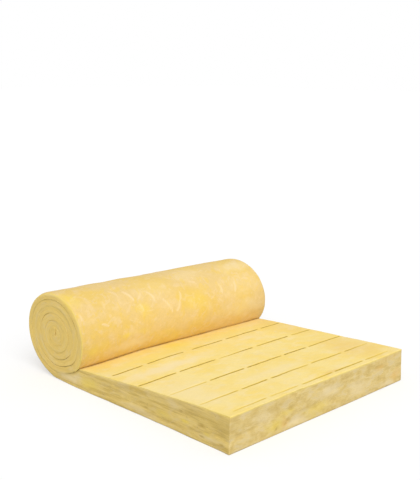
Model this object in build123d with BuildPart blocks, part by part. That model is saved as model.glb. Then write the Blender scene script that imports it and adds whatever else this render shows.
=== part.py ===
from build123d import *
from math import atan2, cos, degrees, sin
import os

# Glass wool mat, part unrolled: one felt that is wound in a roll at the back and lies flat in front.
# Millimetres. X runs across the mat, along the roll's axis. Y runs from the cut front edge back to
# the roll, and Z is up. The origin is on the floor, at the middle of the whole outline.

# Driving dimensions

# The mat
mat_width = 1200.0
free_thickness = 160.0      # sprung back, at the cut front edge
flat_length = 1142.0        # from the cut front edge to the lowest line of the roll
nip_thickness = 102.0       # where the line of the mat's top would meet the plane under the axis

# The roll
roll_radius = 222.0         # of the outer turn, upright, where it leaves the floor
roll_spread = 1.13          # each turn's radius across, over its upright one: the roll sags
wound_thickness = 34.0      # of each turn, squeezed by the winding
wound_quarters = 22         # quarter turns from the floor to the inner end of the mat
roll_edge_radius = 12.0     # soft edge round both ends of the roll

# The turns that show on the ends
seam_width = 3.0
seam_depth = 12.0

# The broken cutting lines across the top
first_line_offset = 32.0    # from the cut front edge
line_pitch = 155.0          # from the first line to the second
line_pitch_growth = 1.12    # each space over the one before it
line_count = 5
dash_length = 200.0
dash_pitch = 240.0
dashes_per_line = 5
dash_width = 8.0
dash_depth = 1.5


def turn_radius(quarter):
    """Upright outer radius of the winding after so many quarter turns, which starts on the floor."""
    return roll_radius - wound_thickness * quarter / 4


# Places that follow from the sizes
back_reach = roll_spread * turn_radius(1)
overall_length = flat_length + back_reach
front_y = -overall_length / 2
axis_y = front_y + flat_length
axis_z = roll_radius
last_turn_quarter = 4       # one full turn, where the outer turn lands on the one that lies flat


def quarter_arc(quarter, outward):
    """One quarter of the winding, moved outward from it: an ellipse's arc, level or plumb at its ends."""
    start = turn_radius(quarter)
    end = turn_radius(quarter + 1)
    starts_level = quarter % 2 == 0
    across = roll_spread * (end if starts_level else start) + outward
    upward = (start if starts_level else end) + outward
    return EllipticalCenterArc((axis_y, axis_z), across, upward, 90 * quarter - 90)


# Section of the roll: its outer turn, closed by the mat's thickness under the axis
with BuildSketch(Plane.YZ) as roll_section:
    with BuildLine():
        for quarter in range(last_turn_quarter):
            quarter_arc(quarter, 0)
        Line((axis_y, axis_z - turn_radius(last_turn_quarter)), (axis_y, 0))
    make_face()

# Section of the flat stretch: it thickens from the roll to the cut edge
with BuildSketch(Plane.YZ) as flat_section:
    with BuildLine():
        Polyline(
            (front_y, 0),
            (axis_y, 0),
            (axis_y, nip_thickness),
            (front_y, free_thickness),
            close=True,
        )
    make_face()

# Seam between the turns: it starts where the roll meets the mat's top, and winds in to the core
with BuildSketch(Plane.YZ) as seam_section:
    for quarter in range(last_turn_quarter - 1, wound_quarters):
        with BuildLine():
            outer = quarter_arc(quarter, seam_width / 2)
            inner = quarter_arc(quarter, -seam_width / 2)
            Line(outer @ 0, inner @ 0)
            Line(outer @ 1, inner @ 1)
        make_face()
        if quarter == last_turn_quarter - 1:
            add(flat_section.sketch_local, mode=Mode.INTERSECT)

# Plane of the mat's top, at the middle of the cut front edge
top_tilt = atan2(free_thickness - nip_thickness, flat_length)
mat_top = Plane(
    origin=(0, front_y, free_thickness),
    x_dir=(1, 0, 0),
    z_dir=(0, sin(top_tilt), cos(top_tilt)),
)

with BuildPart() as glass_wool_mat:
    # The whole section, carried across the mat
    with BuildSketch(Plane.YZ):
        add(roll_section.sketch_local)
        add(flat_section.sketch_local)
    extrude(amount=mat_width / 2, both=True)

    # Soft edges round the ends of the roll, and on along the floor
    round_edges = glass_wool_mat.edges().filter_by(GeomType.ELLIPSE)
    fillet(round_edges, radius=roll_edge_radius)

    # The turns show as a spiral seam on both ends
    for end in (-1, 1):
        with BuildSketch(Plane.YZ.offset(end * mat_width / 2)):
            add(seam_section.sketch_local)
        extrude(amount=-end * seam_depth, mode=Mode.SUBTRACT)

    # Broken cutting lines, scored across the top
    with BuildSketch(mat_top):
        line_offset = first_line_offset
        for line in range(line_count):
            with Locations((0, line_offset)):
                with GridLocations(dash_pitch, 0, dashes_per_line, 1):
                    Rectangle(dash_length, dash_width)
            line_offset += line_pitch * line_pitch_growth ** line
    extrude(amount=-dash_depth, mode=Mode.SUBTRACT)

glass_wool_mat.part.label = "glass_wool_mat"

os.makedirs("parts", exist_ok=True)
export_step(glass_wool_mat.part, "parts/glass_wool_mat.step")

print("overall length", round(overall_length, 1), "top tilt", round(degrees(top_tilt), 2))
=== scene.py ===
import math
from types import SimpleNamespace
from typing import NamedTuple

import bpy
import numpy as np
from mathutils import Matrix, Vector


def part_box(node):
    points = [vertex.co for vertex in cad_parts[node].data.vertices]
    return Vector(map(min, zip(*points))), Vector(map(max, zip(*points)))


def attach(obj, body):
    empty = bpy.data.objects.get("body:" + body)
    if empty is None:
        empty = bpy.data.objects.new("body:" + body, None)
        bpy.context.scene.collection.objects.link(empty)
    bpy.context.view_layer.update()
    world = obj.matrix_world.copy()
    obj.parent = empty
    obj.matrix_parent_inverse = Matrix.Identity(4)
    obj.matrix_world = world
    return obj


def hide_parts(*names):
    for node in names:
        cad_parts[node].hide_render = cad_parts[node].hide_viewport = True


# A part-unrolled glass wool mat. One felt lies flat in front and is wound in a roll behind. It is
# built as the strip that it is: stations along its length, each with an outer and an inner point.
# Metres. X runs across the mat, Y from the cut front edge back to the roll, and Z is up.

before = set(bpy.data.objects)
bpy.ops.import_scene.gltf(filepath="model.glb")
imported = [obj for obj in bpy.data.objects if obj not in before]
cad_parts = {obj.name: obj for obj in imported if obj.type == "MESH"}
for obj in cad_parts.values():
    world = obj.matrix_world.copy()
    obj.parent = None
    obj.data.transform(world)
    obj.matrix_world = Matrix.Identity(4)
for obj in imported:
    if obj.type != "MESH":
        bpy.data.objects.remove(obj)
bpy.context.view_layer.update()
NODE = "glass_wool_mat"
low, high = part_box(NODE)

# Sizes that the frame's box doesn't give
FREE_THICKNESS = 0.16  # at the cut front edge
NIP_THICKNESS = 0.102  # of the flat stretch, carried on to under the roll's axis
WOUND_THICKNESS = 0.034  # of each turn
WOUND_QUARTERS = 22  # quarter turns from the floor to the inner end
ROLL_SPREAD = 1.13  # each turn's radius across, over its upright one
TURN = 4  # quarter turns in a whole one

# Sizes from the frame's box
HALF_WIDTH = (high.x - low.x) / 2
ROLL_RADIUS = (high.z - low.z + WOUND_THICKNESS / 2) / 2
FRONT_Y = low.y
AXIS_Y = high.y - ROLL_SPREAD * (ROLL_RADIUS - WOUND_THICKNESS / TURN)
AXIS_Z = ROLL_RADIUS
FLAT_LENGTH = AXIS_Y - FRONT_Y

# Edges and gaps
CUT_EDGE_RADIUS = 0.003
ROLL_EDGE_RADIUS = 0.018
FLOOR_EDGE_SHARE = 0.5  # of that radius, where the roll leaves the floor
TURN_EDGE_RADIUS = 0.0008
NIP_EDGE_RADIUS = 0.0015  # of the edges where the roll and the mat meet
SEAM_GAP = 0.0003
NIP_GAP = 0.0022  # how far the roll stands off the mat where they part
NIP_GAP_DEPTH = 0.05
EYE_ACROSS = 0.003  # half sizes of the slit in the middle of the roll
EYE_UPRIGHT = 0.011
EYE_START = 0.4  # quarter turns over which the slit opens
TURN_SHIFT = 0.0008  # how far each turn may stand out of the ends
TURN_SHIFT_START = (1.2, 1.5)  # distances past the roll's lowest line over which they begin to

# Where one edge radius gives way to the next
TOP_EDGE_FADE = (0.01, 0.12)  # distances before the crease
FLOOR_EDGE_FADE = 0.07  # distance before the roll's lowest line
TURN_EDGE_FADE = (0.12, 0.45)  # distances past the crease, into the winding
RISING_EDGE_FADE = 0.2  # quarter turns up from the floor
LANDING_EDGE_FADE = (0.75, 0.12)  # quarter turns before the crease

# Unevenness of the whole mat: how far its parts have moved
ROLL_SKEW = 0.068  # of the roll, forward at its right end
ROLL_FOOT_SKEW = 0.75  # share of that skew where the roll rests on the mat
SKEW_HEIGHTS = (0.06, 0.36)  # between which the skew grows to its full amount
SKEW_START = 0.12  # distance before the crease where the mat begins to follow it
LEFT_DROOP = 0.001  # of the mat's left edge, in front
LEFT_DROOP_AT_ROLL = 0.0165
LEFT_DROOP_POWER = 2.2  # how late it sinks, going back to the roll
LEFT_DROOP_REACH = 0.42
RIGHT_RISE = 0.004  # of its right edge, at the roll
FRONT_RISE = 0.002  # of the cut edge, in front
MIDDLE_RISE = 0.004  # of the top, in the middle
LEFT_BOW = 0.005  # of the left edge, inwards
LEFT_BOW_END = 1.3  # where that bow would end, as a share of the way to the crease
CORNER_LEAN = 0.008  # of the front right corner, from its foot to its top
CORNER_LEAN_HEIGHT = 0.6  # share of the thickness at which it hasn't moved
FOOT_FLARE = 0.003  # of the left edge's foot, outwards, in front
FOOT_FLARE_AT_ROLL = 0.007
EDGE_REACH = 0.2  # of that bow, lean and flare, in from the edge
ROLL_SLACK = 0.005  # of the roll's turns, past the mat's edges
SINK_INTO_ROLL = 0.1  # up and back, where the roll follows the sunk top
SETTLE_LENGTH = 0.1  # past the crease, where the flat stretch's moves end

# Swells of the roll: how high, where across and at which quarter turn, and their half sizes
SWELLS = (
    (0.0038, 0.4, 2.05, 0.26, 0.55),
    (-0.003, -0.25, 2.0, 0.34, 0.55),
    (0.0035, -0.62, 1.45, 0.16, 0.4),
    (-0.0035, 0.62, 3.1, 0.3, 0.5),
)
SWELL_REACH = 1.2  # in half sizes

# Broken cutting lines: distance from the front edge, and the cuts, which each have both ends' places
# across the mat and both ends' depths of colour
LINES = (
    (0.036, ((-0.55, -0.345, 0.4, 0.55), (-0.325, -0.143, 0.42, 0.48), (-0.12, 0.093, 0.55, 0.7),
             (0.11, 0.325, 0.85, 0.62), (0.343, 0.53, 0.6, 0.35))),
    (0.187, ((-0.59, -0.356, 0.38, 0.66), (-0.338, -0.172, 0.66, 0.84), (-0.15, 0.11, 0.85, 0.52),
             (0.13, 0.362, 0.66, 0.66), (0.385, 0.578, 0.78, 0.36))),
    (0.369, ((-0.592, -0.362, 0.38, 0.52), (-0.345, -0.128, 0.84, 0.92), (-0.108, 0.134, 1.0, 0.8),
             (0.152, 0.318, 1.0, 0.9), (0.336, 0.592, 0.72, 0.75))),
    (0.566, ((-0.594, -0.366, 1.0, 1.0), (-0.346, -0.118, 0.9, 1.0), (-0.094, 0.146, 0.45, 1.0),
             (0.174, 0.412, 0.72, 1.0), (0.44, 0.592, 0.62, 0.75))),
    (0.778, ((-0.57, -0.386, 1.0, 1.0), (-0.358, -0.126, 1.0, 1.0), (-0.07, 0.146, 0.85, 0.95),
             (0.17, 0.416, 0.9, 1.0), (0.44, 0.59, 0.9, 0.8))),
)
CUT_HALF_WIDTH = 0.005
CUT_DEPTH = 0.0018
CUT_FADE = (0.3, 1.6)  # across the cut, in half widths
CUT_END_OUT = 0.006  # how far each end fades, past its place and before it
CUT_END_IN = 0.008

# Grid
FLAT_STEP = 0.008
WOUND_STEP = 0.0062
INNER_STEP = 0.012
TIGHT_STEP_SHARE = 0.22  # longest step, over the turn's radius there
WIDTH_STEP = 0.0076
THICKNESS_STEPS = 22
FRONT_STATIONS = (0, 0.001, 0.0025, 0.005)
LINE_STATIONS = (-1.6, -0.8, 0, 0.8, 1.6)  # across a cutting line, in half widths
STATION_CLEARANCE = 0.003
EDGE_STEPS = (0.0, 0.0015, 0.004, 0.008, 0.012, 0.017, 0.024)
HIDDEN_MIDDLE_STEPS = 3
TOP_PAST_CREASE = 3  # stations past the crease whose top is built as if it showed
SKIN_PAST_CREASE = 0.12  # quarter turns past it whose skin is
FINE_PAST_CREASE = 0.2  # quarter turns past it with short steps

# Random relief: height, lumps' size along or through the felt, and seed
RANDOM = 11
NOISE_TABLE = 4096
NOISE_KEYS = (73856093, 19349663, 83492791)
WARP = (0.0012, 0.31)  # of the whole mat, with seeds 1 to 3 for its axes
CUT_RELIEF = ((0.0014, (0.09, 0.026), 11), (0.0006, (0.045, 0.016), 12))
PITS = (0.0022, (0.06, 0.015), 13)
PIT_LEVELS = (0.5, 0.85)
TURN_SHIFTS = (0.24, 14)
SEAM_BREAKS = (0.13, 15)
SEAM_BREAK_LEVELS = (-0.45, 0.75)
SKIN_RELIEF = ((0.001, 0.085, 21), (0.0005, 0.026, 22))
ROLL_RELIEF = (0.0016, 0.19, 23)
ROLL_RELIEF_GAIN = 1.2  # of the skin's relief, on the roll
STREAK_HEIGHT = 0.0012
LINE_WAVER = (0.0012, 0.06, 31)
STAIN_SWAY = ((0.022, 0.05, 40), (0.009, 0.017, 50))


# Random fields

def smooth_noise(points, size, seed):
    """Smooth random values from -1 to 1 at each point, with lumps of about the given size."""
    table = np.random.default_rng(RANDOM + seed).uniform(-1, 1, NOISE_TABLE)
    scaled = np.asarray(points, float) / size
    cell = np.floor(scaled).astype(np.int64)
    part = scaled - cell
    part = part * part * (3 - 2 * part)
    value = np.zeros(len(scaled))
    for corner in np.ndindex(*(2,) * scaled.shape[1]):
        weight = np.ones(len(scaled))
        key = np.zeros(len(scaled), np.int64)
        for axis, step in enumerate(corner):
            weight *= part[:, axis] if step else 1 - part[:, axis]
            key ^= (cell[:, axis] + step) * NOISE_KEYS[axis]
        value += weight * table[key % NOISE_TABLE]
    return value


def relief(points, height, size, seed):
    """Random relief, up to that height either way."""
    return height * smooth_noise(points, size, seed)


def fade(value, start, end):
    """0 at start, 1 at end, and smooth between them."""
    share = np.clip((value - start) / (end - start), 0, 1)
    return share * share * (3 - 2 * share)


def between(start, end, share):
    """The value at that share of the way from start to end."""
    return start + (end - start) * share


# The winding and the flat stretch, as sections across X

def turn_radius(quarter):
    """Upright outer radius of the winding after so many quarter turns from the floor."""
    return ROLL_RADIUS - WOUND_THICKNESS * quarter / TURN


def turned_angle(quarter):
    """Angle from +Y of that quarter turn, where 0 is straight down and 1 is the back."""
    return (quarter - 1) * math.pi / 2


def on_winding(quarter, radius, spread=ROLL_SPREAD):
    """Point (y, z) at that quarter turn."""
    angle = turned_angle(quarter)
    return np.stack([AXIS_Y + spread * radius * np.cos(angle), AXIS_Z + radius * np.sin(angle)], axis=-1)


def top_height(y):
    """Height of the flat stretch's top."""
    return between(FREE_THICKNESS, NIP_THICKNESS, (y - FRONT_Y) / FLAT_LENGTH)


def crease_quarter():
    """Where the winding's outer surface comes down to the flat stretch's top."""
    above, below = TURN - 1.0, float(TURN)
    for _ in range(40):
        middle = (above + below) / 2
        y, z = on_winding(middle, turn_radius(middle) + NIP_GAP)
        if z > top_height(y):
            above = middle
        else:
            below = middle
    return below


def eye_radius(quarter):
    """Radius of the slit in the middle of the roll, at that quarter turn."""
    angle = turned_angle(quarter)
    return EYE_ACROSS * EYE_UPRIGHT / np.hypot(EYE_UPRIGHT * np.cos(angle), EYE_ACROSS * np.sin(angle))


def flat_stations(crease_y):
    """Distances from the front edge to the crease, close together at the edge and the lines."""
    length = crease_y - FRONT_Y
    even = np.linspace(0, length, int(length / FLAT_STEP))
    keep = np.ones(len(even), bool)
    groups = [np.array(FRONT_STATIONS)]
    for place, _ in LINES:
        groups.append(place + CUT_HALF_WIDTH * np.array(LINE_STATIONS))
    for group in groups:
        keep &= (even < group[0] - STATION_CLEARANCE) | (even > group[-1] + STATION_CLEARANCE)
    return np.sort(np.concatenate([even[keep], *groups]))


def flat_part(crease_y):
    """The flat stretch, up to the crease."""
    distance = flat_stations(crease_y)
    y = FRONT_Y + distance
    near = np.clip(CUT_EDGE_RADIUS - distance, 0, None)
    drop = CUT_EDGE_RADIUS - np.sqrt(CUT_EDGE_RADIUS ** 2 - near ** 2)
    outer = np.stack([y, drop], -1)
    inner = np.stack([y, top_height(y) - drop], -1)
    round_outer = np.full(len(y), CUT_EDGE_RADIUS)
    round_inner = between(NIP_EDGE_RADIUS, CUT_EDGE_RADIUS, fade(crease_y - y, *TOP_EDGE_FADE))
    return outer, inner, distance, round_outer, round_inner


def floor_part(crease, crease_y):
    """The stretch under the roll, where the top follows the turn that rests on it."""
    count = int((AXIS_Y - crease_y) / WOUND_STEP)
    quarter = np.linspace(crease, TURN, count + 1)[1:]
    depth = (quarter - crease) * math.pi / 2 * ROLL_RADIUS
    gap = between(NIP_GAP, SEAM_GAP, fade(depth, 0, NIP_GAP_DEPTH))
    inner = on_winding(quarter, turn_radius(quarter) + gap)
    y = inner[:, 0]
    outer = np.stack([y, np.zeros(count)], -1)
    floor_edge = ROLL_EDGE_RADIUS * FLOOR_EDGE_SHARE
    round_outer = between(CUT_EDGE_RADIUS, floor_edge, fade(y, AXIS_Y - FLOOR_EDGE_FADE, AXIS_Y))
    round_inner = between(NIP_EDGE_RADIUS, TURN_EDGE_RADIUS, fade(depth, *TURN_EDGE_FADE))
    return outer, inner, y - FRONT_Y, round_outer, round_inner


def winding_quarters(crease):
    """Each station's quarter turn in the winding, close together where its skin shows."""
    quarters = []
    quarter = 0.0
    while quarter < WOUND_QUARTERS:
        longest = WOUND_STEP if quarter < crease + FINE_PAST_CREASE else INNER_STEP
        step = min(longest, turn_radius(quarter) * TIGHT_STEP_SHARE)
        quarter += step / (turn_radius(quarter) * math.pi / 2)
        quarters.append(min(quarter, WOUND_QUARTERS))
    return np.array(quarters)


def wound_part(quarter, crease):
    """The winding, from the floor to its inner end. Its last turn lies round the slit."""
    radius = turn_radius(quarter)
    last_turn = WOUND_QUARTERS - TURN
    slit = fade(quarter, last_turn, last_turn + EYE_START)
    inside = between(turn_radius(quarter + TURN) + SEAM_GAP, eye_radius(quarter), slit)
    outer = on_winding(quarter, radius)
    inner = on_winding(quarter, inside, between(ROLL_SPREAD, 1, slit))
    lengths = np.diff(quarter, prepend=0) * (radius - WOUND_THICKNESS / 2) * math.pi / 2
    landing_start, landing_end = LANDING_EDGE_FADE
    shown = between(FLOOR_EDGE_SHARE, 1, fade(quarter, 0, RISING_EDGE_FADE))
    shown *= 1 - fade(quarter, crease - landing_start, crease - landing_end)
    past_crease = (quarter - crease) * math.pi / 2 * ROLL_RADIUS
    tight = between(NIP_EDGE_RADIUS, TURN_EDGE_RADIUS, fade(past_crease, *TURN_EDGE_FADE))
    round_outer = between(tight, ROLL_EDGE_RADIUS, shown)
    round_inner = np.full(len(quarter), TURN_EDGE_RADIUS)
    return outer, inner, FLAT_LENGTH + np.cumsum(lengths), round_outer, round_inner


def strip():
    """The mat's stations, and the numbers of those where it changes."""
    crease = crease_quarter()
    crease_y = on_winding(crease, turn_radius(crease) + NIP_GAP)[0]
    quarter = winding_quarters(crease)
    parts = (flat_part(crease_y), floor_part(crease, crease_y), wound_part(quarter, crease))
    outer, inner, along, round_outer, round_inner = (np.concatenate(rows) for rows in zip(*parts))
    crease_station = len(parts[0][0])
    floor_end = crease_station + len(parts[1][0])
    return SimpleNamespace(
        outer=outer, inner=inner, along=along, round_outer=round_outer, round_inner=round_inner,
        crease=crease_station, floor_end=floor_end,
        roll_crease=floor_end + int(np.searchsorted(quarter, crease)),
        skin_end=floor_end + int(np.searchsorted(quarter, crease + SKIN_PAST_CREASE)),
    )


# The mesh

def width_places():
    """Places across the mat, close together at both ends."""
    start = HALF_WIDTH - EDGE_STEPS[-1]
    middle = np.linspace(-start, start, int(2 * start / WIDTH_STEP) + 1)
    edge = HALF_WIDTH - np.array(EDGE_STEPS[:-1])
    return np.concatenate([-edge, middle, edge[::-1]])


class Net:
    """Points, each with a station, a place across and a share of the thickness, and their faces."""

    def __init__(self):
        self.station, self.across, self.through, self.faces = [], [], [], []

    def points(self, station, across, through):
        """Adds points and gives their numbers."""
        across, through = np.broadcast_arrays(across, through)
        first = len(self.station)
        self.station.extend([station] * len(across))
        self.across.extend(across)
        self.through.extend(through)
        return np.arange(first, len(self.station))

    def face(self, corners, flip=False):
        """Adds a face, turned over where asked."""
        self.faces.append(corners[::-1] if flip else corners)

    def quads(self, row_a, row_b, flip=False):
        """Adds the faces between two rows with as many points."""
        for k in range(len(row_a) - 1):
            self.face([row_a[k], row_a[k + 1], row_b[k + 1], row_b[k]], flip)

    def band(self, columns_a, row_a, columns_b, row_b, flip):
        """Adds the faces between two rows across the mat, also where one has fewer points."""
        shared = np.intersect1d(columns_a, columns_b)
        for start, end in zip(shared[:-1], shared[1:]):
            side_a = row_a[(columns_a >= start) & (columns_a <= end)]
            side_b = row_b[(columns_b >= start) & (columns_b <= end)]
            self.face([*side_a, *side_b[::-1]], flip)


def shown_columns(width):
    """The columns of a row that shows, and the fewer ones of a row that doesn't."""
    every = np.arange(len(width))
    edge = len(EDGE_STEPS) - 1
    middle = np.linspace(edge, len(width) - 1 - edge, HIDDEN_MIDDLE_STEPS + 1).astype(int)
    return every, np.concatenate([every[:edge], middle, every[-edge:]])


def felt_net(path, width):
    """The closed strip: both skins, both ends, the cut front face and the inner end."""
    net = Net()
    every, few = shown_columns(width)
    share = np.linspace(0, 1, THICKNESS_STEPS + 1)
    stations = range(len(path.along))

    outer, inner, left, right = [], [], [], []
    for i in stations:
        outer_columns = every if i == 0 or path.floor_end <= i <= path.skin_end else few
        inner_columns = every if i <= path.crease + TOP_PAST_CREASE else few
        outer_row = net.points(i, width[outer_columns], 0.0)
        inner_row = net.points(i, width[inner_columns], 1.0)
        left_row = net.points(i, -HALF_WIDTH, share[1:-1])
        right_row = net.points(i, HALF_WIDTH, share[1:-1])
        outer.append((outer_columns, outer_row))
        inner.append((inner_columns, inner_row))
        left.append(np.concatenate([outer_row[:1], left_row, inner_row[:1]]))
        right.append(np.concatenate([outer_row[-1:], right_row, inner_row[-1:]]))

    for i in stations[:-1]:
        for rows, flip in ((outer, True), (inner, False)):
            if len(rows[i][0]) == len(rows[i + 1][0]):
                net.quads(rows[i][1], rows[i + 1][1], flip)
            else:
                net.band(*rows[i], *rows[i + 1], flip)
        net.quads(left[i], left[i + 1])
        net.quads(right[i], right[i + 1], True)

    front = [outer[0][1]]
    for k in range(1, THICKNESS_STEPS):
        row = net.points(0, width[1:-1], share[k])
        front.append(np.concatenate([left[0][k:k + 1], row, right[0][k:k + 1]]))
    front.append(inner[0][1])
    for row_a, row_b in zip(front[:-1], front[1:]):
        net.quads(row_a, row_b)
    end = [*outer[-1][1][::-1], *left[-1][1:-1], *inner[-1][1], *right[-1][1:-1][::-1]]
    net.face(end)
    return net


def round_corner(from_end, from_face, corner):
    """Both distances, moved on to a rounded corner where they lie outside it."""
    outside = (from_end < corner) & (from_face < corner)
    a = corner - from_end
    b = corner - from_face
    length = np.maximum(np.hypot(a, b), 1e-9)
    from_end[outside] = (corner - a / length * corner)[outside]
    from_face[outside] = (corner - b / length * corner)[outside]
    return outside


def place_points(path, net):
    """The net's points in space, with rounded corners, and their distances to the faces and ends."""
    station, across, through = map(np.array, (net.station, net.across, net.through))
    outer, inner = path.outer[station], path.inner[station]
    thickness = np.linalg.norm(inner - outer, axis=1)
    from_end = HALF_WIDTH - np.abs(across)
    from_outer = through * thickness
    from_inner = (1 - through) * thickness
    moved = round_corner(from_end, from_outer, path.round_outer[station])
    from_inner[moved] = (thickness - from_outer)[moved]
    moved = round_corner(from_end, from_inner, path.round_inner[station])
    from_outer[moved] = (thickness - from_inner)[moved]
    direction = (inner - outer) / np.maximum(thickness, 1e-9)[:, None]
    section = outer + direction * from_outer[:, None]

    # The vertical corners of the cut front face
    near = CUT_EDGE_RADIUS - np.minimum(path.along[station], CUT_EDGE_RADIUS)
    tuck = CUT_EDGE_RADIUS - np.sqrt(np.clip(CUT_EDGE_RADIUS ** 2 - near ** 2, 0, None))
    x = np.sign(across) * (HALF_WIDTH - from_end) * (1 - tuck / HALF_WIDTH)
    return SimpleNamespace(
        place=np.column_stack([x, section]), station=station, across=across, through=through,
        along=path.along[station], layer=through * thickness, thickness=thickness, direction=direction,
        from_end=from_end, from_outer=from_outer, from_inner=from_inner,
    )


# How the soft mat has sunk, skewed and swollen

def top_rise(x, near_roll):
    """How far the flat stretch's top has risen."""
    edges = RIGHT_RISE * near_roll * fade(x, 0, HALF_WIDTH) + FRONT_RISE * (1 - near_roll)
    bulge = MIDDLE_RISE * np.sin(math.pi * near_roll) * np.cos(math.pi / 2 * x / HALF_WIDTH)
    return edges + bulge


def left_sink(x, y, z, crease_y):
    """How far the left edge has sunk, with the part of the roll that rests on it."""
    towards_roll = np.clip((y - FRONT_Y) / (crease_y - FRONT_Y), 0, 1)
    top = top_height(np.minimum(y, crease_y))
    sink = between(LEFT_DROOP, LEFT_DROOP_AT_ROLL, towards_roll ** LEFT_DROOP_POWER)
    sink *= fade(-x, HALF_WIDTH - LEFT_DROOP_REACH, HALF_WIDTH)
    sink *= np.clip(z / top, 0, 1) * (1 - fade(z - top, 0, SINK_INTO_ROLL))
    return sink * (1 - fade(y, crease_y, crease_y + SINK_INTO_ROLL))


def roll_swell(x, y, z):
    """How far the roll's skin has swollen outwards, along Y and Z, and less so further in."""
    off = np.column_stack([(y - AXIS_Y) / ROLL_SPREAD, z - AXIS_Z])
    radius = np.maximum(np.hypot(off[:, 0], off[:, 1]), 1e-6)
    quarter = (np.arctan2(off[:, 1], off[:, 0]) / (math.pi / 2) + 1) % TURN
    height = np.zeros(len(x))
    for most, across, turned, half_across, half_turned in SWELLS:
        away = np.hypot((x - across) / half_across, (quarter - turned) / half_turned)
        height += most * (1 - fade(away, 0, SWELL_REACH))
    height *= (radius / ROLL_RADIUS) ** 2
    return (height / radius)[:, None] * off


def edge_shift(x, through, near_roll):
    """How far the left edge and the front right corner have moved across."""
    left = fade(-x, HALF_WIDTH - EDGE_REACH, HALF_WIDTH)
    right = fade(x, HALF_WIDTH - EDGE_REACH, HALF_WIDTH)
    bow = LEFT_BOW * np.sin(math.pi * near_roll) * (LEFT_BOW_END - near_roll) * left
    flare = between(FOOT_FLARE, FOOT_FLARE_AT_ROLL, near_roll ** 2) * (1 - through) ** 2 * left
    lean = CORNER_LEAN * (CORNER_LEAN_HEIGHT - through) * (1 - near_roll) ** 2 * right
    return bow + lean - flare


def shape_unevenness(path, points):
    """Moves the points as the soft mat has sunk, swollen and skewed, and as it is lumpy."""
    place, through, along = points.place, points.through, points.along
    x, y, z = place.T.copy()
    crease_along = path.along[path.crease]
    near_roll = np.clip(along / crease_along, 0, 1)
    flat = ~points.wound * (1 - fade(along, crease_along, crease_along + SETTLE_LENGTH))

    place[:, 2] += flat * through * top_rise(x, near_roll)
    place[:, 2] -= left_sink(x, y, z, path.inner[path.crease][0])
    place[:, 1:] += points.wound[:, None] * roll_swell(x, y, z)
    place[:, 0] += flat * edge_shift(x, through, near_roll)
    place[:, 0] += (1 - flat) * ROLL_SLACK * x / HALF_WIDTH

    skew = between(ROLL_FOOT_SKEW, 1, fade(place[:, 2], *SKEW_HEIGHTS))
    skew *= fade(along, crease_along - SKEW_START, crease_along)
    place[:, 1] -= ROLL_SKEW * x / (2 * HALF_WIDTH) * skew

    for axis in range(3):
        place[:, axis] += relief(place, *WARP, axis + 1)


# Skin, cut faces and turns, and their relief

SIDE_FADE = (0.0005, 0.004)  # distances from the end over which the side gives way to skin
TURN_SIDE_FADE = (0.0065, 0.016)  # the same, between the turns
FRONT_FADE = 0.008
RIM_DEPTH = 0.006  # of the pale rim along the skin, on the sides
RIM_DEPTH_ON_ROLL = 0.018
SEAM_FADE = (0.0005, 0.007)  # distances from the seam on the ends over which its shade fades
SEAM_SHADE = 0.8
REST_SHADE = 1.3  # where the roll rests on the mat
REST_FADE = (0.0005, 0.018)  # below that seam
REST_FADE_ABOVE = (0.0005, 0.012)
REST_END = (0.15, 0.35)  # distances past the landing over which it gives way
# distances from the crease over which its painted shade fades
CREASE_SHADE_FADE = (0.002, 0.022)
WOUND_FADE = (-0.06, 0.1)  # distances past the roll's lowest line


def mark_parts(path, points):
    """Tells the skin, the cut faces and the turns apart."""
    station, through, from_end = points.station, points.through, points.from_end
    past_top = station > path.crease + TOP_PAST_CREASE
    between_turns = (station >= path.skin_end) | (past_top & (through > 0))
    start, end = (np.where(between_turns, *pair) for pair in zip(TURN_SIDE_FADE, SIDE_FADE))
    points.front = (station == 0).astype(float)
    points.side = 1 - fade(from_end, start, end)
    points.cut = np.maximum(points.front, points.side)
    points.wound = station >= path.floor_end
    points.outer_skin = (through == 0) & points.wound
    points.top_skin = (through == 1) & (station <= path.crease)


def cut_relief(points):
    """Height of the cut faces' layers of fibre, with a few pits."""
    grain = np.column_stack([points.along + points.across, points.layer])
    height = sum(relief(grain / size, most, 1, seed) for most, size, seed in CUT_RELIEF)
    depth, size, seed = PITS
    return height - depth * fade(smooth_noise(grain / size, 1, seed), *PIT_LEVELS)


def roughen_cut_faces(points):
    """Raises the layers on the cut faces, and shifts the turns a little."""
    place = points.place
    height = cut_relief(points)
    sideways = points.side * (1 - points.front)
    flat_share = np.clip(points.thickness / FREE_THICKNESS, 0.5, 1)
    lengthwise = np.column_stack([points.along, 0 * points.along])
    shift = relief(lengthwise, TURN_SHIFT, *TURN_SHIFTS)
    start, end = TURN_SHIFT_START
    shift *= fade(points.along, FLAT_LENGTH + start, FLAT_LENGTH + end)
    place[:, 0] += np.sign(points.across) * sideways * (height * flat_share + shift)
    clear_of_ends = 1 - fade(np.abs(place[:, 0]), HALF_WIDTH - SIDE_FADE[1], HALF_WIDTH)
    place[:, 1] -= points.front * height * clear_of_ends


def roughen_skin(points):
    """Raises the skin's lumps, and the creases in the roll's skin."""
    points.streaks = np.where(points.outer_skin, streak_share(points.place), 0)
    surface = np.column_stack([points.along, points.across])
    lumps = sum(relief(surface, *kind) for kind in SKIN_RELIEF)
    roll_lumps = relief(surface, *ROLL_RELIEF) + ROLL_RELIEF_GAIN * lumps + STREAK_HEIGHT * points.streaks
    for skin, height in ((points.outer_skin, -roll_lumps), (points.top_skin, lumps)):
        points.place[skin, 1:] += (height[:, None] * points.direction)[skin]


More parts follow.
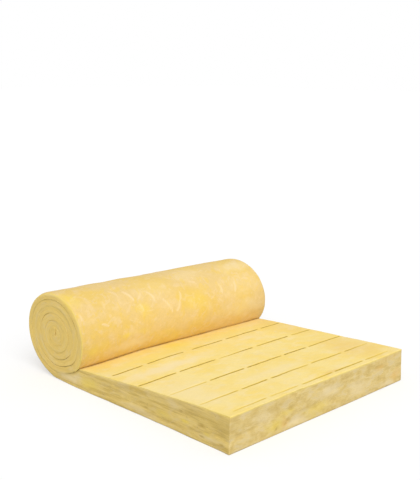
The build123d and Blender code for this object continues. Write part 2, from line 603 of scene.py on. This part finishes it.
def line_share(x, distance):
    """How much of a cutting line lies at each point, from 0 to 1, and how deep its colour is."""
    found, deep = np.zeros((2, len(x)))
    waver = relief(x[:, None], *LINE_WAVER)
    core, rim = (CUT_HALF_WIDTH * share for share in CUT_FADE)
    for place, cuts in LINES:
        across = 1 - fade(np.abs(distance + waver - place), core, rim)
        for start, end, start_depth, end_depth in cuts:
            begun = fade(x, start - CUT_END_OUT, start + CUT_END_IN)
            ended = fade(x, end - CUT_END_IN, end + CUT_END_OUT)
            here = across * begun * (1 - ended)
            found = np.maximum(found, here)
            depth = between(start_depth, end_depth, (x - start) / (end - start))
            deep = np.maximum(deep, here * depth)
    return found, deep


def score_lines(points):
    """Presses the cutting lines into the top, and keeps their share of colour."""
    found, deep = line_share(points.across, points.along)
    points.marks = np.where(points.top_skin, deep, 0)
    points.place[:, 2] -= CUT_DEPTH * np.where(points.top_skin, found, 0)
    points.place[:, 2] = np.maximum(points.place[:, 2], 0)


# Stains: how strong, then their middle and half sizes, each across, along and upright
PALE_STAINS = (
    (0.9, -0.36, -0.03, 0.13, 0.3, 0.055, 0.1), (0.5, -0.08, -0.01, 0.13, 0.09, 0.04, 0.1),
    (0.4, 0.28, 0.02, 0.12, 0.16, 0.05, 0.1), (0.4, -0.05, -0.45, 0.15, 0.2, 0.04, 0.1),
    (0.7, -0.6, 0.36, 0.04, 0.05, 0.12, 0.025), (0.5, -0.6, -0.13, 0.02, 0.05, 0.12, 0.02),
    (0.4, -0.6, -0.56, 0.03, 0.05, 0.06, 0.02), (0.8, -0.19, -0.69, 0.025, 0.07, 0.05, 0.025),
    (0.5, -0.42, -0.69, 0.1, 0.07, 0.05, 0.03), (0.8, 0.02, -0.69, 0.095, 0.09, 0.05, 0.03),
    (0.6, 0.25, -0.69, 0.06, 0.1, 0.05, 0.035), (0.7, 0.5, -0.69, 0.018, 0.07, 0.05, 0.016),
    (0.2, -0.12, 0.34, 0.4, 0.14, 0.07, 0.07), (0.2, 0.45, 0.24, 0.34, 0.17, 0.07, 0.1),
    (0.3, 0.16, 0.38, 0.42, 0.12, 0.07, 0.06), (0.5, 0.5, 0.35, 0.41, 0.15, 0.06, 0.05),
    (0.4, 0.45, 0.2, 0.22, 0.2, 0.05, 0.05), (0.5, -0.33, 0.25, 0.16, 0.12, 0.05, 0.03),
    (0.4, -0.5, -0.36, 0.14, 0.14, 0.26, 0.06), (0.4, -0.5, -0.06, 0.13, 0.1, 0.06, 0.06),
)
YELLOW_STAINS = (
    (0.9, -0.08, 0.19, 0.11, 0.11, 0.08, 0.1), (0.5, -0.3, 0.14, 0.11, 0.25, 0.06, 0.1),
    (0.4, 0.25, 0.15, 0.11, 0.22, 0.06, 0.1), (0.5, 0.5, 0.09, 0.12, 0.1, 0.08, 0.1),
    (0.9, -0.6, -0.44, 0.06, 0.05, 0.035, 0.009), (0.7, -0.6, -0.56, 0.045, 0.05, 0.03, 0.008),
    (0.5, -0.6, -0.29, 0.045, 0.05, 0.06, 0.02), (0.6, -0.6, 0.22, 0.04, 0.05, 0.07, 0.03),
    (0.6, -0.34, -0.69, 0.05, 0.07, 0.05, 0.03), (0.5, -0.26, -0.69, 0.085, 0.06, 0.05, 0.016),
    (0.4, -0.05, -0.69, 0.035, 0.1, 0.05, 0.035), (0.6, -0.53, 0.22, 0.17, 0.1, 0.05, 0.05),
    (0.8, -0.34, 0.205, 0.22, 0.14, 0.05, 0.018), (0.7, -0.5, 0.225, 0.15, 0.035, 0.05, 0.025),
    (0.4, -0.23, 0.26, 0.33, 0.05, 0.05, 0.04), (0.35, 0.1, 0.225, 0.31, 0.12, 0.06, 0.06),
    (0.5, -0.59, 0.39, 0.42, 0.05, 0.08, 0.05),
)
WARM_STAINS = (
    (0.7, 0.1, -0.655, 0.16, 0.08, 0.018, 0.02), (0.5, 0.48, -0.5, 0.15, 0.14, 0.25, 0.03),
    (0.9, -0.27, -0.69, 0.04, 0.035, 0.05, 0.03), (0.8, 0.42, -0.69, 0.115, 0.06, 0.05, 0.02),
    (0.8, 0.56, -0.69, 0.05, 0.04, 0.05, 0.028), (0.35, 0.34, 0.19, 0.16, 0.22, 0.06, 0.03),
    (0.35, 0.55, 0.05, 0.13, 0.12, 0.28, 0.06),
)
DARK_STAINS = (
    (0.3, -0.6, -0.65, 0.11, 0.05, 0.08, 0.05), (1.0, -0.6, -0.53, 0.07, 0.04, 0.026, 0.008),
    (0.9, -0.6, -0.535, 0.028, 0.04, 0.016, 0.005), (0.9, -0.6, -0.645, 0.03, 0.04, 0.016, 0.005),
    (0.6, -0.6, -0.48, 0.105, 0.04, 0.03, 0.005), (0.25, -0.6, -0.5, 0.125, 0.05, 0.12, 0.014),
    (0.9, -0.6, -0.4, 0.098, 0.04, 0.018, 0.005), (0.8, -0.6, -0.19, 0.048, 0.04, 0.016, 0.005),
    (0.25, -0.6, -0.05, 0.09, 0.05, 0.09, 0.012), (0.45, -0.24, -0.69, 0.098, 0.04, 0.05, 0.011),
    (0.5, -0.12, -0.69, 0.064, 0.065, 0.05, 0.006), (0.7, -0.325, -0.69, 0.028, 0.009, 0.05, 0.01),
    (0.7, -0.25, -0.69, 0.052, 0.016, 0.05, 0.007), (0.7, -0.265, -0.69, 0.034, 0.01, 0.05, 0.006),
    (0.4, -0.5, -0.69, 0.072, 0.09, 0.05, 0.005), (0.25, -0.33, -0.69, 0.128, 0.08, 0.05, 0.014),
    (0.3, -0.6, -0.69, 0.11, 0.025, 0.05, 0.045), (0.4, 0.4, -0.69, 0.122, 0.06, 0.05, 0.007),
)

# Creases in the roll's skin: how strong, then across and quarter turn, of both ends of each
STREAKS = (
    (0.7, -0.35, 2.23, -0.323, 2.37), (1.0, -0.285, 2.3, -0.258, 2.49), (0.8, -0.235, 2.58, -0.23, 2.7),
    (0.7, -0.197, 2.39, -0.226, 2.48), (1.0, -0.158, 2.4, -0.14, 2.57), (1.0, -0.092, 2.58, -0.06, 2.8),
    (0.9, 0.004, 2.66, -0.028, 2.8), (0.8, 0.028, 2.51, 0.008, 2.64), (0.8, 0.298, 2.52, 0.296, 2.68),
    (0.8, 0.408, 2.52, 0.386, 2.7), (0.5, 0.475, 2.5, 0.515, 2.53), (0.6, 0.451, 2.88, 0.455, 2.93),
    (1.0, -0.48, 2.76, -0.45, 2.8), (0.8, -0.585, 2.55, -0.58, 2.64), (0.5, 0.13, 2.36, 0.16, 2.42),
    (0.5, 0.523, 2.86, 0.526, 2.93), (0.5, -0.545, 2.21, -0.5, 2.3), (0.5, -0.43, 2.4, -0.436, 2.52),
)
STREAK_HALF_WIDTH = 0.0072
STREAK_BEND = 0.1  # how far its middle bends to the right, over its length
STREAK_TIP = 0.55  # its width at its ends, over the middle
STREAK_FADE = (0.1, 1.6)  # across it, in half widths
STAIN_FADE = (0.2, 1.3)  # in half sizes
STAIN_SWAY_SIZE = 0.05  # half size from which a stain's border sways in full


def stain_shares(place):
    """How strong each kind of stain is at each point, with uneven borders."""
    sway = np.zeros(place.shape)
    for most, size, seed in STAIN_SWAY:
        sway += np.column_stack([relief(place, most, size, seed + axis) for axis in range(3)])
    shares = {}
    for kind, (_, stains) in STAINS.items():
        share = np.zeros(len(place))
        for strength, *numbers in stains:
            centre, half = np.reshape(numbers, (2, 3))
            swayed = place + sway * np.minimum(1, half / STAIN_SWAY_SIZE)
            away = np.linalg.norm((swayed - centre) / half, axis=1)
            share = np.maximum(share, strength * (1 - fade(away, *STAIN_FADE)))
        shares[kind] = share
    return shares


def streak_end(x, quarter):
    """Where that end of a crease lies on the skewed roll."""
    y, z = on_winding(quarter, turn_radius(quarter))
    return np.array([x, y - ROLL_SKEW * x / (2 * HALF_WIDTH), z])


def streak_share(place):
    """How much of a crease in the roll's skin lies at each point."""
    share = np.zeros(len(place))
    for strength, x_a, quarter_a, x_b, quarter_b in STREAKS:
        start = streak_end(x_a, quarter_a)
        line = streak_end(x_b, quarter_b) - start
        part = np.clip((place - start) @ line / (line @ line), 0, 1)[:, None]
        bend = STREAK_BEND * np.linalg.norm(line) * (1 - (2 * part - 1) ** 2) * np.array([1, 0, 0])
        away = np.linalg.norm(place - start - part * line - bend, axis=1)
        half_width = STREAK_HALF_WIDTH * between(STREAK_TIP, 1, np.sin(math.pi * part[:, 0]))
        share = np.maximum(share, strength * (1 - fade(away / half_width, *STREAK_FADE)))
    return share


# The felt's attributes, which its material reads

def rim_share(points, first_turn):
    """The pale rim along the skin, on the sides."""
    depth = np.where(points.wound, points.from_outer, points.from_inner)
    reach = np.where(points.wound, RIM_DEPTH_ON_ROLL, RIM_DEPTH)
    return first_turn * (1 - fade(depth, 0, reach))


def seam_shade_share(path, points, first_turn):
    """Painted shade in the seams on the ends: broken between the turns, and deep where the roll rests on
    the mat.
    """
    station, along = points.station, points.along
    breaks = smooth_noise(np.column_stack([along, 0 * along]), *SEAM_BREAKS)
    seam = 1 - fade(np.minimum(points.from_outer, points.from_inner), *SEAM_FADE)
    seam *= SEAM_SHADE * fade(breaks, *SEAM_BREAK_LEVELS) * ~first_turn
    under_roll = (station >= path.crease - 1) & (station < path.floor_end)
    below = under_roll * (1 - fade(points.from_inner, *REST_FADE))
    resting = (station >= path.skin_end) * (1 - fade(along - path.along[path.skin_end], *REST_END))
    above = resting * (1 - fade(points.from_outer, *REST_FADE_ABOVE))
    return np.maximum(seam, REST_SHADE * np.maximum(below, above))


def crease_shade_share(path, points):
    """Painted shade: a dark line on the skin where the roll and the mat meet, in the crevice between
    them.
    """
    creases = (path.along[path.crease], path.along[path.roll_crease])
    away = np.min([np.abs(points.along - crease) for crease in creases], axis=0)
    skin = (points.outer_skin | points.top_skin) * (1 - points.cut)
    return skin * (1 - fade(away, *CREASE_SHADE_FADE))


def felt_attributes(path, points):
    """Each attribute's name and its value at each point."""
    outer_half = (points.station < path.skin_end) & (points.through < 0.5)
    first_turn = outer_half | (points.station < path.crease)
    wound_start, wound_end = WOUND_FADE
    return {
        "cut": points.cut,
        "front": np.maximum(points.front, 1 - fade(points.along, 0, FRONT_FADE)),
        "mark": points.marks,
        "wound": fade(points.along, FLAT_LENGTH + wound_start, FLAT_LENGTH + wound_end),
        "crease": crease_shade_share(path, points),
        "edge": rim_share(points, first_turn),
        "streak": points.streaks,
        "seam": seam_shade_share(path, points, first_turn),
        **stain_shares(points.place),
    }


def add_object(name, data):
    """A new object in the scene."""
    made = bpy.data.objects.new(name, data)
    bpy.context.scene.collection.objects.link(made)
    return made


def make_felt():
    """The mat as one closed mesh, with its place in the felt as attributes."""
    path = strip()
    net = felt_net(path, width_places())
    points = place_points(path, net)
    mark_parts(path, points)
    shape_unevenness(path, points)
    roughen_cut_faces(points)
    roughen_skin(points)
    score_lines(points)

    mesh = bpy.data.meshes.new("felt")
    mesh.from_pydata(points.place.tolist(), [], [[int(v) for v in face] for face in net.faces])
    mesh.validate()
    coordinates = np.column_stack([points.along, points.across, points.layer]).astype(np.float32)
    attribute = mesh.attributes.new("felt", "FLOAT_VECTOR", "POINT")
    attribute.data.foreach_set("vector", coordinates.ravel())
    for name, value in felt_attributes(path, points).items():
        attribute = mesh.attributes.new(name, "FLOAT", "POINT")
        attribute.data.foreach_set("value", value.astype(np.float32))
    mesh.shade_smooth()
    mesh.update()
    return add_object("felt_mat", mesh)


# Colours

SKIN_YELLOW = (0.93, 0.7, 0.19)
SKIN_PALE = (0.932, 0.738, 0.278)
SKIN_HAZE = (0.932, 0.752, 0.368)
WOUND_YELLOW = (0.808, 0.562, 0.15)
WOUND_BEIGE = (0.797, 0.571, 0.222)
WOUND_HAZE = (0.832, 0.616, 0.295)
WOUND_GOLD = (0.83, 0.575, 0.11)
STREAK = (0.9, 0.685, 0.37)
# The cut faces' colours are darker than the skin's: partly the cut fibre's own khaki, partly painted
# shade of faces that turn away from the light
SIDE_KHAKI = (0.82, 0.604, 0.184)
SIDE_DARK = (0.66, 0.466, 0.116)
FRONT_KHAKI = (0.82, 0.627, 0.246)
FRONT_DARK = (0.7, 0.505, 0.165)
WOUND_CUT = (0.91, 0.65, 0.175)
CUT_PALE = (0.88, 0.695, 0.31)
CUT_GREY = (0.79, 0.635, 0.35)
CUT_RIM = (0.88, 0.695, 0.165)
# painted shade in the seams between the turns, and where the roll rests on the mat
SEAM_SHADE_COLOUR = (0.65, 0.48, 0.125)
FLECK = (0.38, 0.25, 0.07)
# painted shade in the crease where the roll meets the mat
CREASE_SHADE = (0.64, 0.4, 0.075)
MARK = (0.34, 0.2, 0.01)
MARK_BORDER = (0.79, 0.54, 0.035)

# Each kind of stain: its attribute's name, its colour and its places
STAINS = {
    "pale": ((0.915, 0.755, 0.44), PALE_STAINS),
    "yellow": ((0.89, 0.675, 0.095), YELLOW_STAINS),
    "warm": ((0.82, 0.53, 0.15), WARM_STAINS),
    "dark": ((0.48, 0.315, 0.06), DARK_STAINS),
}


# Noise patterns of the felt

class Pattern(NamedTuple):
    """Size along the felt, and across or through it, turn in radians, detail, roughness and warp."""
    size: tuple
    turn: float = 0.0
    detail: float = 2.0
    rough: float = 0.5
    warp: float = 0.0


PATCHES = Pattern((0.15, 0.2))
MOTTLE = Pattern((0.045, 0.06))
FLAKES = Pattern((0.032, 0.05), turn=0.5, detail=3, warp=1.2)
GOLD_FLAKES = Pattern((0.06, 0.036), turn=-0.4, detail=3, warp=1.2)
FIBRES = tuple(Pattern((0.004, 0.045), turn=turn, warp=0.6) for turn in (0.5, -0.4, 1.5))
MARK_GRAIN = Pattern((0.008, 0.02))
LAYER_WAVE = Pattern((0.2, 0.09), detail=1)
LAYERS = Pattern((0.22, 0.02), detail=4, rough=0.55, warp=0.1)
BLOTCHES = Pattern((0.06, 0.034), detail=4, rough=0.6, warp=0.4)
STRANDS = Pattern((0.03, 0.0034), detail=3, rough=0.6)
FLECKS = Pattern((0.024, 0.008), detail=3)
LAYER_WAVE_HEIGHT = 0.015

# Values of a pattern between which its colour comes in, and how much of it there is at both
SKIN_PATCHES = (0.36, 0.64)
WOUND_PATCHES = (0.4, 0.6)
HAZY = (0.46, 0.74, 0, 0.6)
FLAKY = (0.57, 0.64, 0, 0.6)
GOLDEN = (0.57, 0.64, 0, 0.5)
FIBRE_SHADES = (0.36, 0.64, 0.96, 1.03)
SIDE_LAYERS = (0.36, 0.54)
PALE_LAYERS = (0.52, 0.72, 0, 0.6)
FRONT_BLOTCHES = (0.32, 0.58)
GREY_BLOTCHES = (0.48, 0.66)
STRAND_SHADES = (0.35, 0.65, 0.95, 1.04)
FLECKED = (0.66, 0.75, 0, 0.65)
MARK_BORDERED = (0, 0.6, 0, 0.85)
MARK_FILLED = (0.25, 0.9)
MARK_WORN = (0.3, 0.6, 0.6, 1)

# Shares on the flat stretch and on the roll, or on the sides and on the front
FLAKES_ON = (0.35, 1)
GOLD_ON = (0.5, 1)
GREYS_ON = (0.3, 0.62)
FLECKS_ON = (1, 0.4)

# Bump: shares of the height that each pattern gives, and the height itself
FIBRE_BUMP = 0.5
MOTTLE_BUMP = 0.6
STRAND_BUMP = 0.6
BUMP_STRENGTH = 0.5
BUMP_HEIGHT = 0.004

# How strongly each colour covers what lies under it
WOUND_CUT_COVER = 0.8
RIM_COVER = 0.6
SEAM_SHADE_COVER = 0.68
STAIN_COVER = 0.85
CREASE_SHADE_COVER = 0.55

# The top's shade near the roll, and the distances from the front edge where it begins and ends
NEAR_ROLL_START = (0.66, 0.86)
NEAR_ROLL_END = (1.0, 1.1)
NEAR_ROLL_SHADE = 0.955

FELT_FINISH = {"Roughness": 0.95, "Specular IOR Level": 0.2, "Sheen Weight": 0.08, "Sheen Roughness": 0.6}
FLOOR_FINISH = {"Roughness": 1.0, "Specular IOR Level": 0.0}


class Tree:
    """Short calls that add nodes to a material, with a socket or a plain value in each input."""

    def __init__(self, material, finish):
        material.use_nodes = True
        self.nodes = material.node_tree.nodes
        self.links = material.node_tree.links
        self.shader = self.nodes["Principled BSDF"]
        for name, value in finish.items():
            self.shader.inputs[name].default_value = value

    def put(self, socket, value):
        """Links a socket, or sets a value or colour."""
        if isinstance(value, bpy.types.NodeSocket):
            self.links.new(value, socket)
        elif isinstance(value, tuple) and len(value) == 3 and socket.type == "RGBA":
            socket.default_value = (*value, 1)
        else:
            socket.default_value = value

    def node(self, kind, **inputs):
        """A node with those inputs."""
        made = self.nodes.new(kind)
        for name, value in inputs.items():
            self.put(made.inputs[name], value)
        return made

    def attribute(self, name, output="Fac"):
        """One of the mesh's attributes."""
        made = self.nodes.new("ShaderNodeAttribute")
        made.attribute_name = name
        return made.outputs[output]

    def math(self, operation, a, b):
        """The result for two numbers."""
        made = self.nodes.new("ShaderNodeMath")
        made.operation = operation
        self.put(made.inputs[0], a)
        self.put(made.inputs[1], b)
        return made.outputs[0]

    def times(self, a, b):
        """One number times another."""
        return self.math("MULTIPLY", a, b)

    def pattern(self, vector, pattern):
        """A noise pattern, from 0 to 1."""
        made = self.node("ShaderNodeMapping", Vector=vector, Rotation=(0, 0, pattern.turn),
                         Scale=(*pattern.size, 1))
        made.vector_type = "TEXTURE"
        noise = self.node("ShaderNodeTexNoise", Vector=made.outputs["Vector"], Scale=1.0,
                          Detail=pattern.detail, Roughness=pattern.rough, Distortion=pattern.warp)
        return noise.outputs["Fac"]

    def level(self, value, start, end, at_start=0.0, at_end=1.0):
        """at_start where the value is start or less, at_end where it is end or more, smooth between."""
        limits = {"From Min": start, "From Max": end, "To Min": at_start, "To Max": at_end}
        made = self.node("ShaderNodeMapRange", Value=value, **limits)
        made.interpolation_type = "SMOOTHSTEP"
        return made.outputs["Result"]

    def blend(self, factor, a, b, kind="MIX"):
        """One colour over another."""
        made = self.nodes.new("ShaderNodeMix")
        made.data_type = "RGBA"
        made.blend_type = kind
        self.put(made.inputs["Factor"], factor)
        self.put(made.inputs[6], a)
        self.put(made.inputs[7], b)
        return made.outputs[2]

    def shade(self, colour, brightness):
        """The colour, times a brightness."""
        grey = self.node("ShaderNodeCombineColor", Red=brightness, Green=brightness, Blue=brightness)
        return self.blend(1.0, colour, grey.outputs["Color"], "MULTIPLY")


def skin_colour(tree, felt):
    """Colour and height of the mat's skin: patches, mottling, flakes, crossed fibres and creases."""
    wound = tree.attribute("wound")
    patches = tree.pattern(felt, PATCHES)
    mottle = tree.pattern(felt, MOTTLE)
    flat = tree.blend(tree.level(patches, *SKIN_PATCHES), SKIN_YELLOW, SKIN_PALE)
    rolled = tree.blend(tree.level(patches, *WOUND_PATCHES), WOUND_YELLOW, WOUND_BEIGE)
    colour = tree.blend(wound, flat, rolled)
    haze = tree.blend(wound, SKIN_HAZE, WOUND_HAZE)
    colour = tree.blend(tree.level(mottle, *HAZY), colour, haze)
    flakes = tree.level(tree.pattern(felt, FLAKES), *FLAKY)
    colour = tree.blend(tree.times(flakes, tree.level(wound, 0, 1, *FLAKES_ON)), colour, haze)
    gold = tree.blend(wound, SKIN_YELLOW, WOUND_GOLD)
    gold_flakes = tree.level(tree.pattern(felt, GOLD_FLAKES), *GOLDEN)
    colour = tree.blend(tree.times(gold_flakes, tree.level(wound, 0, 1, *GOLD_ON)), colour, gold)
    fibres = tree.pattern(felt, FIBRES[0])
    for kind in FIBRES[1:]:
        fibres = tree.math("ADD", fibres, tree.pattern(felt, kind))
    fibres = tree.times(fibres, 1 / len(FIBRES))
    colour = tree.blend(tree.attribute("streak"), colour, STREAK)
    colour = tree.shade(colour, tree.level(fibres, *FIBRE_SHADES))
    along = tree.node("ShaderNodeSeparateXYZ", Vector=felt).outputs["X"]
    near_roll = tree.times(tree.level(along, *NEAR_ROLL_START), tree.level(along, *NEAR_ROLL_END, 1, 0))
    colour = tree.shade(colour, tree.level(near_roll, 0, 1, 1, NEAR_ROLL_SHADE))
    height = tree.math("ADD", tree.times(fibres, FIBRE_BUMP), tree.times(mottle, MOTTLE_BUMP))
    return colour, height


def cut_colour(tree, felt):
    """Colour and height of the cut faces: soft wavy layers of fibre, with flecks and patches."""
    front, edge, wound, seam = (tree.attribute(name) for name in ("front", "edge", "wound", "seam"))
    parts = tree.node("ShaderNodeSeparateXYZ", Vector=felt).outputs
    lengthwise = tree.math("ADD", parts["X"], parts["Y"])
    flat = tree.node("ShaderNodeCombineXYZ", X=lengthwise, Y=parts["Z"]).outputs["Vector"]
    wave = tree.math("SUBTRACT", tree.pattern(flat, LAYER_WAVE), 0.5)
    bent_layer = tree.math("ADD", parts["Z"], tree.times(wave, LAYER_WAVE_HEIGHT))
    bent = tree.node("ShaderNodeCombineXYZ", X=lengthwise, Y=bent_layer).outputs["Vector"]
    layers = tree.pattern(bent, LAYERS)
    blotches = tree.pattern(bent, BLOTCHES)
    strands = tree.pattern(bent, STRANDS)
    # side and front colours, darker than the skin partly as painted shade
    side = tree.blend(tree.level(layers, *SIDE_LAYERS), SIDE_DARK, SIDE_KHAKI)
    ahead = tree.blend(tree.level(blotches, *FRONT_BLOTCHES), FRONT_DARK, FRONT_KHAKI)
    colour = tree.blend(front, side, ahead)
    colour = tree.blend(tree.times(wound, WOUND_CUT_COVER), colour, WOUND_CUT)
    colour = tree.blend(tree.level(layers, *PALE_LAYERS), colour, CUT_PALE)
    greys = tree.times(tree.level(blotches, *GREY_BLOTCHES), tree.level(front, 0, 1, *GREYS_ON))
    colour = tree.blend(greys, colour, CUT_GREY)
    colour = tree.blend(tree.times(edge, RIM_COVER), colour, CUT_RIM)
    # painted shade in the seams on the ends
    colour = tree.blend(tree.times(seam, SEAM_SHADE_COVER), colour, SEAM_SHADE_COLOUR)
    colour = tree.shade(colour, tree.level(strands, *STRAND_SHADES))
    flecks = tree.level(tree.pattern(flat, FLECKS), *FLECKED)
    colour = tree.blend(tree.times(flecks, tree.level(front, 0, 1, *FLECKS_ON)), colour, FLECK)
    height = tree.math("ADD", layers, tree.times(strands, STRAND_BUMP))
    return colour, height


def line_colour(tree, felt, colour):
    """The cutting lines over that colour: a brown cut with a golden border."""
    mark = tree.attribute("mark")
    colour = tree.blend(tree.level(mark, *MARK_BORDERED), colour, MARK_BORDER)
    grain = tree.level(tree.pattern(felt, MARK_GRAIN), *MARK_WORN)
    return tree.blend(tree.times(tree.level(mark, *MARK_FILLED), grain), colour, MARK)


def glass_wool():
    """The felt's material: skin and cut faces, told apart by the mesh's own attributes."""
    material = bpy.data.materials.new("glass_wool")
    tree = Tree(material, FELT_FINISH)
    felt = tree.attribute("felt", "Vector")
    skin, skin_height = skin_colour(tree, felt)
    cut, cut_height = cut_colour(tree, felt)
    cut_share = tree.attribute("cut")
    colour = tree.blend(cut_share, skin, cut)
    for name, (stain, _) in STAINS.items():
        colour = tree.blend(tree.times(tree.attribute(name), STAIN_COVER), colour, stain)
    # painted shade in the crease where the roll and the mat meet
    colour = tree.blend(tree.times(tree.attribute("crease"), CREASE_SHADE_COVER), colour, CREASE_SHADE)
    colour = line_colour(tree, felt, colour)
    height = tree.node("ShaderNodeMix", Factor=cut_share, A=skin_height, B=cut_height).outputs["Result"]
    bump = tree.node("ShaderNodeBump", Height=height, Strength=BUMP_STRENGTH, Distance=BUMP_HEIGHT)
    tree.put(tree.shader.inputs["Base Color"], colour)
    tree.put(tree.shader.inputs["Normal"], bump.outputs["Normal"])
    return material


# Camera, light and floor

CAMERA_PLACE = (-2.84, -2.8365, 1.4714)
CAMERA_TURNS = (44.68, -11.17, 0.52)  # yaw from +Y towards +X, pitch and roll
FOCAL_PIXELS = 849.2
LONG_SIDE_PIXELS = 480
SENSOR = 36


def add_camera():
    """A camera where the photograph's was."""
    yaw, pitch, roll = map(math.radians, CAMERA_TURNS)
    forward = Vector((math.sin(yaw) * math.cos(pitch), math.cos(yaw) * math.cos(pitch), math.sin(pitch)))
    level = forward.cross(Vector((0, 0, 1))).normalized()
    upright = level.cross(forward)
    right = level * math.cos(roll) + upright * math.sin(roll)
    up = upright * math.cos(roll) - level * math.sin(roll)
    camera = add_object("camera", bpy.data.cameras.new("camera"))
    turn = Matrix((right, up, -forward)).transposed().to_4x4()
    camera.matrix_world = Matrix.Translation(CAMERA_PLACE) @ turn
    camera.data.sensor_width = SENSOR
    camera.data.lens = FOCAL_PIXELS * SENSOR / LONG_SIDE_PIXELS
    bpy.context.scene.camera = camera


LIGHT_FROM = (-0.23, -0.37, 0.42)  # its length is the light's share of a white floor's brightness
LIGHT_SPREAD = 50
SKY_LEVEL = 0.61
WHITE = (1, 1, 1, 1)
BOUNCE_COLOUR = (0.5, 0.5, 0.5)
SEEN_GLOW = 0.5  # makes the floor white to the camera, and leaves the object's shadow on it
FLOOR_HALF_SIDE = 60
FLOOR_DROP = 0.0005  # how far the floor lies below the mat's underside


def add_sun():
    """A wide soft lamp from the front left, above the camera."""
    towards = Vector(LIGHT_FROM)
    light = bpy.data.lights.new("key", "SUN")
    light.energy = towards.length * math.pi
    light.angle = math.radians(LIGHT_SPREAD)
    add_object("key", light).rotation_euler = towards.to_track_quat("Z", "Y").to_euler()


def seen_share(nodes, links):
    """1 for rays that show the background, straight, in a shine or through glass, and 0 for light."""
    path = nodes.new("ShaderNodeLightPath")
    seen = path.outputs["Is Camera Ray"]
    for name in ("Is Glossy Ray", "Is Transmission Ray"):
        either = nodes.new("ShaderNodeMath")
        either.operation = "MAXIMUM"
        links.new(seen, either.inputs[0])
        links.new(path.outputs[name], either.inputs[1])
        seen = either.outputs[0]
    return seen


def add_world():
    """An even pale sky, which is seen as white."""
    world = bpy.data.worlds.new("studio")
    bpy.context.scene.world = world
    world.use_nodes = True
    nodes, links = world.node_tree.nodes, world.node_tree.links
    background = nodes["Background"]
    background.inputs["Color"].default_value = WHITE
    strength = nodes.new("ShaderNodeMix")
    strength.inputs["A"].default_value = SKY_LEVEL
    strength.inputs["B"].default_value = 1.0
    links.new(seen_share(nodes, links), strength.inputs["Factor"])
    links.new(strength.outputs["Result"], background.inputs["Strength"])


def floor_white():
    """The floor's material: seen as white, and grey to the light that bounces off it."""
    material = bpy.data.materials.new("floor_white")
    tree = Tree(material, FLOOR_FINISH)
    seen = seen_share(tree.nodes, tree.links)
    tree.put(tree.shader.inputs["Base Color"], BOUNCE_COLOUR)
    tree.shader.inputs["Emission Color"].default_value = WHITE
    tree.put(tree.shader.inputs["Emission Strength"], tree.times(seen, SEEN_GLOW))
    return material


def add_floor():
    """A plain floor, just below the mat."""
    size = FLOOR_HALF_SIDE
    mesh = bpy.data.meshes.new("floor")
    corners = [(-size, -size, 0), (size, -size, 0), (size, size, 0), (-size, size, 0)]
    mesh.from_pydata(corners, [], [(0, 1, 2, 3)])
    mesh.materials.append(floor_white())
    floor = add_object("floor", mesh)
    floor.location.z = -FLOOR_DROP


felt = make_felt()
felt.data.materials.append(glass_wool())
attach(felt, "root")
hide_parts(NODE)

add_camera()
add_world()
add_floor()
add_sun()
bpy.context.scene.view_settings.view_transform = "Standard"
